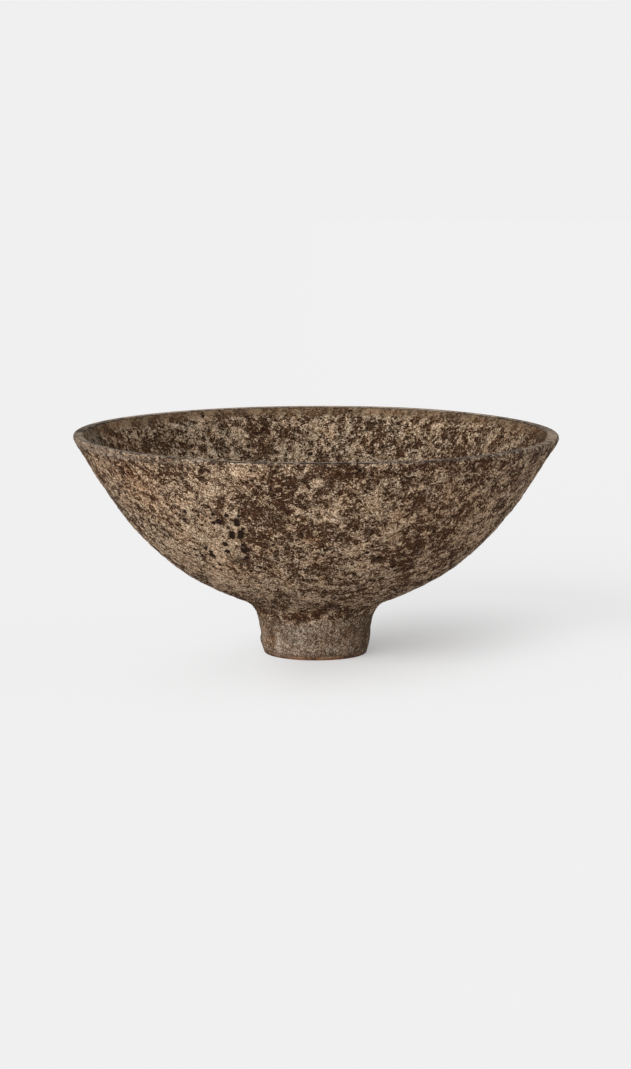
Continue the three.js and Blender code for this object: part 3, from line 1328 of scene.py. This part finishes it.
PAPER = 0.871  # linear brightness of the pale ground
SKY = 0.53  # the even part of the light on the floor
FILL = 0.1  # the fill light's part. The rest is the key's
KEY_ELEVATION = math.radians(14.2)
KEY_DEGREES = -34.5  # where the key light comes from, round from the front
KEY_SOFTNESS = math.radians(61)
FILL_ELEVATION = math.radians(35)
FILL_DEGREES = 100.0  # it comes from the right and lights the left of the inside
FILL_SOFTNESS = math.radians(40)
SHADE_CENTRE = (32.0, -12.0)  # where the shade is deepest, at the foot's front and right
SHADE_LOSS = (0.31, 0.92)  # the share of it that is lost there and far away
SHADE_TURN = math.radians(63)  # which way the deep part is drawn out
SHADE_STRETCH = 0.5  # distances along that way count this much
SHADE_REACH = (15.0, 130.0)  # distances from there between which the loss grows
SHADE_BEHIND = 0.18  # share of the loss that is missing behind the bowl, to its right
SHADE_BESIDE = 0.45  # share of the shade that is also lost on the left
BEHIND_X = (-90.0, 40.0)  # where behind and beside set in, from the deepest place
BEHIND_Y = (30.0, 160.0)
BESIDE_X = (-30.0, -75.0)
FLOOR_SIZE = 8.0
FLOOR_DROP = 0.05 * MM  # the floor lies this far below the foot's flat base
CAMERA_PLACE = (0.0, -2.503, 0.4373)
CAMERA_TILT = math.radians(8.259)
CAMERA_LENS = 137.06


def build_floor():
    """A pale ground, which loses part of its shade."""
    half = FLOOR_SIZE / 2
    mesh = bpy.data.meshes.new("floor")
    sides = ((-half, -half), (half, -half), (half, half), (-half, half))
    mesh.from_pydata([(x, y, -FLOOR_DROP) for x, y in sides], [], [(0, 1, 2, 3)])
    floor = add("floor", mesh)
    material, net, shader = new_material("paper")
    paper = (PAPER, PAPER, PAPER, 1.0)
    shader.inputs["Base Color"].default_value = paper
    shader.inputs["Roughness"].default_value = 1.0
    shader.inputs["Specular IOR Level"].default_value = 0.0
    glow = net.node("ShaderNodeEmission", paper)
    x, y, _ = net.split(net.vector("SUBTRACT", net.place(), (*SHADE_CENTRE, 0.0)))
    east, north = math.cos(SHADE_TURN), math.sin(SHADE_TURN)
    along = (x * east + y * north) * SHADE_STRETCH
    away = net.vector("LENGTH", net.join(along, y * east - x * north, 0.0), output="Value")
    near, far = SHADE_LOSS
    share = Signal(net, away).step(*SHADE_REACH) * (far - near) + near
    share = share * (1.0 - x.step(*BEHIND_X) * y.step(*BEHIND_Y) * SHADE_BEHIND)
    share = share + (1.0 - share) * x.step(*BESIDE_X) * SHADE_BESIDE
    seen = Signal(net, net.node("ShaderNodeLightPath").outputs["Is Camera Ray"])
    both = net.node("ShaderNodeMixShader", share * seen, shader.outputs[0], glow.outputs[0])
    net.feed(material.node_tree.nodes["Material Output"].inputs["Surface"], both.outputs[0])
    mesh.materials.append(material)


def on_floor(elevation, softness):
    """Mean sine of the height of a lamp's rays, those from below the floor left out."""
    reach = np.linspace(0.0, softness / 2, 60)
    turn = np.linspace(0.0, 2 * math.pi, 120, endpoint=False)
    reach, turn = np.meshgrid(reach, turn)
    sine = math.sin(elevation) * np.cos(reach)
    sine = sine + math.cos(elevation) * np.sin(reach) * np.cos(turn)
    weight = np.sin(reach)
    return float((np.maximum(sine, 0.0) * weight).sum() / weight.sum())


def soft_lamp(name, share, elevation, degrees, softness):
    """A far lamp that gives the open floor this share of its light."""
    sun = bpy.data.lights.new(name, "SUN")
    sun.angle = softness
    sun.energy = share * math.pi / on_floor(elevation, softness)
    add(name, sun).rotation_euler = (QUARTER - elevation, 0.0, math.radians(degrees))


def build_light():
    """Two soft lamps and an even sky, which looks as pale as the ground."""
    soft_lamp("key", 1.0 - SKY - FILL, KEY_ELEVATION, KEY_DEGREES, KEY_SOFTNESS)
    soft_lamp("fill", FILL, FILL_ELEVATION, FILL_DEGREES, FILL_SOFTNESS)
    world = bpy.data.worlds.new("studio")
    bpy.context.scene.world = world
    world.use_nodes = True
    net = Net(world.node_tree)
    ground = world.node_tree.nodes["Background"]
    ground.inputs["Color"].default_value = (1.0, 1.0, 1.0, 1.0)
    ray = net.node("ShaderNodeLightPath")
    seen = net.math("MAXIMUM", ray.outputs["Is Camera Ray"], ray.outputs["Is Glossy Ray"])
    seen = net.math("MAXIMUM", seen, ray.outputs["Is Transmission Ray"])
    net.feed(ground.inputs["Strength"], seen * (PAPER - SKY) + SKY)


def build_camera():
    """The photo's view."""
    camera = add("camera", bpy.data.cameras.new("camera"))
    camera.data.sensor_width = 36.0
    camera.data.lens = CAMERA_LENS
    camera.data.clip_end = 100.0
    camera.location = CAMERA_PLACE
    camera.rotation_euler = (QUARTER - CAMERA_TILT, 0.0, 0.0)
    bpy.context.scene.camera = camera


build_coats()
build_clay()
build_floor()
build_light()
build_camera()
bpy.context.scene.view_settings.view_transform = "Standard"
